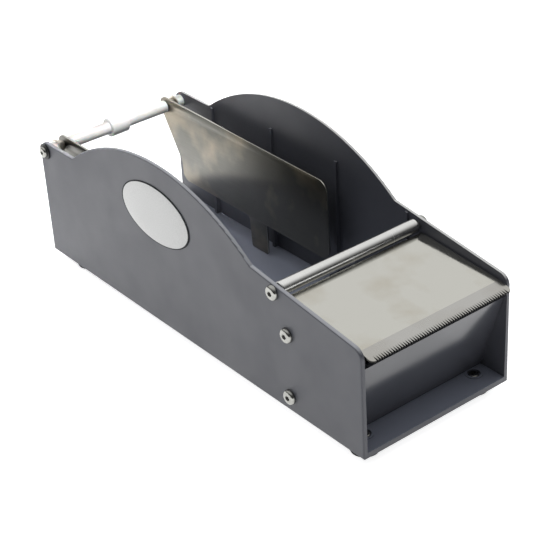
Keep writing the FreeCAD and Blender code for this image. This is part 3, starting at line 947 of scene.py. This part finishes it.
@dataclass
class GuidePlates:
    """Two stainless plates that swing on the hanger screws."""

    finishes: Palette
    lug: float = 6.4
    reach: float = 171.5
    rise_front: float = 5.2
    drop: float = 51.0
    rear_set: float = 15.4
    rear_rise: float = 13.2
    rear_lean: float = 0.6
    corner: float = 8.0
    heel: float = 6.0
    leg_set: float = 63.9
    leg_width: float = 18.4
    leg_taper: float = 1.5
    crease: float = 1.0
    root: float = 3.0
    tip: float = 1.5
    hole: float = 4.16
    soft_edge: float = 0.22
    drill_half: float = 5.0

    def tangent(self, corner: Pair, centre: Pair, sign: int) -> float:
        """Angle in degrees, about the lug's centre, of a line from a corner that touches the lug."""
        dy, dz = corner[0] - centre[0], corner[1] - centre[1]
        return math.degrees(math.atan2(dz, dy) + sign * math.acos(self.lug / math.hypot(dy, dz)))

    def outline(self, centre: Pair, rest: float) -> list[Pair]:
        """The plate's outline.

        Args:
            centre: The hanger axis's (y, z).
            rest: Height of the leg's foot.

        Returns:
            The outline's points in millimetres.
        """
        y, z = centre
        front, rear, bottom = y - self.reach, y - self.rear_set, z - self.drop
        leg = front + self.leg_set
        corners: list[Corner] = [
            (front, z + self.rise_front, self.corner),
            (front, bottom, self.corner),
            (leg, bottom, self.crease),
            (leg, rest, self.tip),
            (leg + self.leg_width - self.leg_taper, rest, self.tip),
            (leg + self.leg_width, bottom, self.root),
            (rear, bottom, self.heel),
            (rear + self.rear_lean, bottom + self.rear_rise, self.corner),
        ]
        top = self.tangent(corners[0][:2], centre, -1)
        back = self.tangent(corners[-1][:2], centre, 1)
        lug = arc(centre, self.lug, back, top, 24)
        ends = [(*lug[0], 0.0), (*lug[-1], 0.0)]
        body = rounded(corners + ends)
        return body[:-1] + lug[1:]

    def build(self) -> None:
        """Cuts both plates and drills their lugs."""
        centre = axis_of("left_guide_lift")
        for side in Side:
            node = "guide_plate_" + side.word
            low, high = box_mm(node)
            piece = plate(node + "_sheet", self.outline(centre, low.z), low.x, high.x)
            past, bore = self.drill_half, self.hole / 2
            drill = lathe("drill", [(-past, 0), (-past, bore), (past, bore), (past, 0)],
                          Vector(((low.x + high.x) / 2, *centre)), X_AXIS, 32)
            combine(piece, drill, "DIFFERENCE")
            bevel(piece, self.soft_edge, 2, 50)
            smooth(piece, 25)
            coat(piece, self.finishes.guide, self.finishes.deck)
            # Painted highlight: the plate's edges and rounded corners take the bright deck steel instead of
            # the guide steel.
            for face in piece.data.polygons:
                face.material_index = int(abs(face.normal.x) < 0.9)
            settle(piece, "plate_steel", "guide_" + side.word, node)


@dataclass
class Roller:
    """Turned bar on two stub screws."""

    finishes: Palette
    end_round: float = 1.6
    bore: float = 2.55
    bore_depth: float = 12.0

    def build(self) -> None:
        """Turns the bar with rounded ends and blind bores."""
        low, high = box_mm("guide_roller")
        y, z = axis_of("roller_spin")
        half, r = high.x, (high.z - low.z) / 2
        deep = half - self.bore_depth
        profile = [(-deep, 0), (-deep, self.bore), (-half, self.bore)]
        profile += rims(half, r, self.end_round, 6) + [(half, self.bore), (deep, self.bore), (deep, 0)]
        piece = lathe("guide_roller_bar", profile, Vector((0, y, z)), X_AXIS, 72)
        smooth(piece)
        coat(piece, self.finishes.roller)
        settle(piece, "roller_metal", "roller", "guide_roller")


@dataclass
class Sleeve:
    """White tube and its collar."""

    finishes: Palette
    bore: float = 2.08
    lip: float = 0.35
    collar_edge: float = 0.8
    collar_play: float = 0.05

    def build(self) -> None:
        """Turns the tube and the collar."""
        low, high = box_mm("sleeve_tube")
        collar_bore = (high.z - low.z) / 2 + self.collar_play
        for node, bore, edge in (("sleeve_tube", self.bore, self.lip),
                                 ("sleeve_collar", collar_bore, self.collar_edge)):
            piece = turn_ring(node, bore, edge, 5, 64)
            coat(piece, self.finishes.white)
            settle(piece, "white_plastic", "sleeve", node)


@dataclass(frozen=True)
class Thread:
    """Sizes of one button-head screw."""

    shank: float
    head: float
    height: float
    crown: float
    socket: float
    socket_depth: float
    rim: float = 0.8
    tip: float = 0.5


M5 = Thread(shank=2.5, head=4.75, height=2.75, crown=2.6, socket=3.0, socket_depth=1.6)
M4 = Thread(shank=2.0, head=3.8, height=2.2, crown=2.1, socket=2.5, socket_depth=1.3)


@dataclass
class ButtonScrews:
    """All the button-head screws in the side walls."""

    finishes: Palette
    bulge: float = 0.13
    dome_steps: int = 8
    burr: float = 0.12

    def screw(self, name: str, side: Side, seat: Vector, length: float, size: Thread) -> Piece:
        """Turns one screw and cuts its socket.

        Args:
            name: The piece's name.
            side: The side that its head is on.
            seat: The middle of its head's underside, in millimetres.
            length: Its length under the head.
            size: The screw's other sizes.

        Returns:
            The screw.
        """
        h, r, last = size.height, size.head, self.dome_steps
        start, stop = Vector((size.rim, r)), Vector((h, size.crown))
        swell = Vector((r - size.crown, h - size.rim)).normalized() * self.bulge * r
        dome = [start.lerp(stop, i / last) + swell * math.sin(math.pi * i / last) for i in range(last + 1)]
        profile = [(-length, 0), (-length, size.shank - size.tip), (-length + size.tip, size.shank),
                   (0, size.shank), (0, r)] + [tuple(p) for p in dome] + [(h, 0)]
        axis = X_AXIS * side.value
        piece = lathe(name, profile, seat, axis, 48)
        coat(piece, self.finishes.zinc)
        middle = seat + axis * (h + 1 - size.socket_depth / 2)
        cutter = bar("socket", middle, size.socket_depth + 2, size.socket, 30)
        # The socket's walls take the near-black steel as painted shade.
        coat(cutter, self.finishes.socket)
        combine(piece, cutter, "DIFFERENCE")
        bevel(piece, self.burr, 2, 55)
        smooth(piece, 30)
        # Painted shade: the sides of the head and of its socket take the near-black steel.
        for face in piece.data.polygons:
            if abs(face.normal.x) < 0.3 and (face.center.x / MM - seat.x) * side.value > 0:
                face.material_index = 1
        return piece

    def place(self, name: str, node: str, side: Side, spot: Pair, size: Thread) -> None:
        """Makes one screw of a node and hangs it on the tub.

        Args:
            name: The piece's name.
            node: The node that holds the screw.
            side: The side that its head is on.
            spot: The screw's (y, z).
            size: The screw's sizes.
        """
        low, high = box_mm(node)
        far = high.x if side is Side.RIGHT else low.x
        seat = Vector((far - side.value * size.height, *spot))
        piece = self.screw(name, side, seat, high.x - low.x - size.height, size)
        settle(piece, "screw_steel", "tub", node)

    def build(self) -> None:
        """Makes the roller, hanger and bridge screws of both sides."""
        for side in Side:
            for kind, joint, size in (("roller", "roller_spin", M5), ("hanger", "sleeve_spin", M4)):
                node = kind + "_screw_" + side.word
                self.place(node + "_turned", node, side, axis_of(joint), size)
            node = "bridge_screws_" + side.word
            low, high = box_mm(node)
            y = (low.y + high.y) / 2
            for z, word in ((low.z + M5.head, "low"), (high.z - M5.head, "high")):
                self.place("bridge_screw_" + word + "_" + side.word, node, side, (y, z), M5)


@dataclass
class HangerRings:
    """Washers, spacers and lock nuts on the hanger screws."""

    finishes: Palette
    bore: float = 2.05
    edge: float = 0.3
    washer_edge: float = 0.2
    nut_flats: float = 7.0
    nut_collar: float = 3.2
    nut_hex: float = 3.4
    # The hexagon's chamfers: length along the axis, and drop below its points.
    near_chamfer: Pair = (0.35, 0.6)
    far_chamfer: Pair = (0.4, 0.7)
    spare: float = 0.1
    # The collar's rounded end: distance before the end, and drop below its radius.
    collar_end: tuple[Pair, ...] = ((0.6, 0.0), (0.15, 0.25), (0.0, 0.8))
    collar_sink: float = 0.5

    def nut(self, side: Side) -> Piece:
        """Makes a lock nut: a chamfered hexagon with a round collar towards the middle.

        Args:
            side: The side that it is on.

        Returns:
            The nut.
        """
        low, high = box_mm("hanger_nut_" + side.word)
        outside = high.x if side is Side.RIGHT else low.x
        centre = Vector((outside, *axis_of("sleeve_spin")))
        inwards = X_AXIS * -side.value
        point = self.nut_flats / math.sqrt(3)
        total = high.x - low.x
        hexagon, collar = self.nut_hex, self.nut_collar
        body = bar("hanger_nut_" + side.word + "_hexagon", centre + inwards * (hexagon / 2), hexagon,
                   self.nut_flats)
        (near, near_drop), (far, far_drop) = self.near_chamfer, self.far_chamfer
        profile = [(0, 0), (0, point - near_drop), (near, point + self.spare),
                   (hexagon - far, point + self.spare), (hexagon, point - far_drop), (hexagon, 0)]
        combine(body, lathe("turned", profile, centre, inwards, 48), "INTERSECT")
        sunk = hexagon - self.collar_sink
        profile = [(sunk, 0), (sunk, collar)]
        profile += [(total - back, collar - drop) for back, drop in self.collar_end] + [(total, 0)]
        combine(body, lathe("collar", profile, centre, inwards, 48), "UNION")
        past = total + 1
        profile = [(-1, 0), (-1, self.bore), (past, self.bore), (past, 0)]
        drill = lathe("drill", profile, centre, inwards, 40)
        combine(body, drill, "DIFFERENCE")
        smooth(body, 28)
        return body

    def build(self) -> None:
        """Makes the rings and nuts of both sides."""
        finishes = self.finishes
        kinds = (("washer", finishes.black, "washer_black", self.washer_edge),
                 ("inner_washer", finishes.nut, "screw_steel", self.washer_edge),
                 ("spacer", finishes.white, "white_plastic", self.edge))
        for side in Side:
            for kind, material, slot, edge in kinds:
                node = "hanger_" + kind + "_" + side.word
                ring = turn_ring(node, self.bore, edge, 4, 56)
                coat(ring, material)
                settle(ring, slot, "tub", node)
            nut = self.nut(side)
            coat(nut, finishes.nut)
            settle(nut, "screw_steel", "tub", "hanger_nut_" + side.word)


@dataclass
class OvalLabel:
    """Domed oval plate, left bare, with a thin dark ring round its edge that is partly a printed line and
    partly painted shade.
    """

    finishes: Palette
    rim: float = 0.45
    line_in: float = 0.968

    def build(self) -> None:
        """Turns a round dome and draws it out to the oval."""
        low, high = box_mm("oval_label")
        height, length, width = high.x - low.x, high.y - low.y, high.z - low.z
        centre = Vector((high.x, (low.y + high.y) / 2, (low.z + high.z) / 2))
        half = width / 2
        profile = [(0.0, 0.0), (0.0, half), (self.rim, half)]
        for share in (self.line_in, 0.88, 0.75, 0.6, 0.4, 0.2, 0.0):
            lift = self.rim + (height - self.rim) * (1 - share ** 4)
            profile.append((lift, half * share))
        piece = lathe("oval_label_dome", profile, centre, -X_AXIS, 128)
        only(piece)
        bpy.ops.object.mode_set(mode="EDIT")
        bpy.ops.mesh.select_all(action="SELECT")
        bpy.ops.transform.resize(value=(1, length / width, 1), center_override=centre * MM)
        bpy.ops.object.mode_set(mode="OBJECT")
        coat(piece, self.finishes.label, self.finishes.outline)
        # The outer ring and the dome's side take the dark line finish, partly print and partly painted
        # shade.
        for face in piece.data.polygons:
            offset = face.center - centre * MM
            share = math.hypot(offset.y / (length / 2 * MM), offset.z / (half * MM))
            face.material_index = int(share > self.line_in)
        smooth(piece, 40)
        settle(piece, "label_silver", "tub", "oval_label")


@dataclass
class Feet:
    """Four moulded rubber feet."""

    finishes: Palette
    recess_depth: float = 1.4
    recess: float = 3.4
    recess_flare: float = 0.5
    # The sole's rounded rim: height, and how far the side is drawn in there.
    sole: tuple[Pair, ...] = ((0.0, 1.0), (0.3, 0.3), (1.0, 0.0))
    # The side and its groove: share of the foot's height, and how far the side is drawn in there.
    side: tuple[Pair, ...] = ((0.45, 0.45), (0.5, 0.95), (0.58, 1.0), (0.63, 0.6), (1.0, 0.9))

    def build(self) -> None:
        """Turns a foot for each corner, with a ring groove and a recess under it."""
        for end in ("front", "rear"):
            for side in Side:
                node = "foot_" + end + "_" + side.word
                low, high = box_mm(node)
                centre = Vector(((low.x + high.x) / 2, (low.y + high.y) / 2, 0))
                r, h = (high.x - low.x) / 2, high.z
                profile = [(self.recess_depth, 0), (self.recess_depth, self.recess),
                           (0.0, self.recess + self.recess_flare)]
                profile += [(up, r - inset) for up, inset in self.sole]
                profile += [(h * share, r - inset) for share, inset in self.side] + [(h, 0)]
                piece = lathe(node + "_turned", profile, centre, Z_AXIS, 48)
                smooth(piece, 35)
                coat(piece, self.finishes.rubber)
                settle(piece, "foot_rubber", "tub", node)


@dataclass
class Studio:
    """Plain pale floor, a soft sky bright above and behind, and the camera at the photograph's angle."""

    eye: Vector = field(default_factory=lambda: Vector((-514.65, -691.84, 557.51)) * MM)
    yaw: float = 37.12
    pitch: float = 31.31
    roll: float = 3.44
    lens: float = 105.08
    sensor: float = 36.0
    bright_side: Vector = field(default_factory=lambda: Vector((0.30, 0.50, 0.81)))
    dim: float = 0.10
    bright: float = 1.05
    horizon: float = 0.5
    haze: Pair = (0.15, 0.38)
    floor_seen: float = 0.85
    floor_gloss: float = 1.1

    def build(self) -> None:
        """Sets up the floor, the world, the lamps and the camera."""
        self.floor()
        self.world()
        self.lamp("rear_softbox", Vector((0.35, 0.9, 1.5)), size=1.2, power=9.0)
        self.lamp("hanger_spot", Vector((-0.15, -0.45, 1.5)), size=0.12, power=0.066,
                  aim=Vector((0, 0.156, 0.088)), beam=7.0)
        self.camera()
        bpy.context.scene.view_settings.view_transform = "Standard"

    def floor(self) -> None:
        """Adds the pale floor. It is lifted to white for the camera and in reflections."""
        bpy.ops.object.select_all(action="DESELECT")
        bpy.ops.mesh.primitive_plane_add(size=12, location=(0, 0, 0))
        ground = bpy.context.active_object
        ground.name = "studio_floor"
        material = bpy.data.materials.new("painted_white_floor")
        material.use_nodes = True
        tree = material.node_tree
        shader = tree.nodes["Principled BSDF"]
        shader.inputs["Base Color"].default_value = linear("#f0f0f0")
        shader.inputs["Roughness"].default_value = 0.9
        shader.inputs["Emission Color"].default_value = (1, 1, 1, 1)
        rays = add_node(tree, "LightPath").outputs
        seen = maths(tree, "MULTIPLY", rays["Is Camera Ray"], self.floor_seen)
        glow = maths(tree, "MULTIPLY_ADD", rays["Is Glossy Ray"], self.floor_gloss, seen)
        tree.links.new(glow, shader.inputs["Emission Strength"])
        coat(ground, material)

    def world(self) -> None:
        """Sets the sky: white to the camera, and for the rest dim in front and bright above and behind."""
        world = bpy.data.worlds.new("pale_studio")
        bpy.context.scene.world = world
        world.use_nodes = True
        tree = world.node_tree
        tree.nodes.clear()
        way = add_node(tree, "TexCoord").outputs["Generated"]
        facing = add_node(tree, "VectorMath", {0: way, 1: self.bright_side.normalized()},
                          operation="DOT_PRODUCT").outputs["Value"]
        sky = remap(tree, facing, 0.0, 0.9, self.dim, self.bright, interpolation_type="SMOOTHSTEP")
        height = add_node(tree, "SeparateXYZ", {0: way}).outputs["Z"]
        hazed = maths(tree, "MULTIPLY", sky, remap(tree, height, *self.haze, self.horizon))
        camera = add_node(tree, "LightPath").outputs["Is Camera Ray"]
        shown = add_node(tree, "Mix", {0: camera, 2: hazed, 3: 1.0}, data_type="FLOAT")
        strength = shown.outputs[0]
        back = add_node(tree, "Background", {"Color": (1, 1, 1, 1), "Strength": strength})
        add_node(tree, "OutputWorld", {"Surface": back.outputs["Background"]})

    def lamp(self, name: str, place: Vector, size: float, power: float, aim: Vector = Vector((0, 0, 0.05)),
             beam: float = 180.0) -> None:
        """Adds one square soft lamp.

        Args:
            name: The lamp's name.
            place: Where it hangs, in metres.
            size: Its side, in metres.
            power: Its power in watts.
            aim: The point that it shines at, in metres.
            beam: How wide it spreads, in degrees.
        """
        light = bpy.data.lights.new(name, "AREA")
        light.shape = "SQUARE"
        light.size = size
        light.energy = power
        light.spread = math.radians(beam)
        lamp = bpy.data.objects.new(name, light)
        bpy.context.scene.collection.objects.link(lamp)
        lamp.visible_glossy = False
        lamp.location = place
        lamp.rotation_mode = "QUATERNION"
        lamp.rotation_quaternion = (aim - place).to_track_quat("-Z", "Y")

    def camera(self) -> None:
        """Puts the camera where the photograph was taken from."""
        data = bpy.data.cameras.new("photo_camera")
        data.lens = self.lens
        data.sensor_width = self.sensor
        data.clip_start = 0.05
        data.clip_end = 20
        camera = bpy.data.objects.new("photo_camera", data)
        bpy.context.scene.collection.objects.link(camera)
        turn = (Matrix.Rotation(math.radians(-self.yaw), 4, "Z")
                @ Matrix.Rotation(math.radians(90 - self.pitch), 4, "X")
                @ Matrix.Rotation(math.radians(-self.roll), 4, "Z"))
        camera.matrix_world = Matrix.Translation(self.eye) @ turn
        bpy.context.scene.camera = camera


def main() -> None:
    """Builds the studio and every sub-assembly in order."""
    logging.basicConfig(level=logging.INFO, format="%(name)s: %(message)s")
    finishes = Palette()
    Studio().build()
    for assembly in (Tub, DeckPlate, GuidePlates, Roller, Sleeve, ButtonScrews, HangerRings, OvalLabel,
                     Feet):
        assembly(finishes).build()


if __name__ == "__main__":
    main()
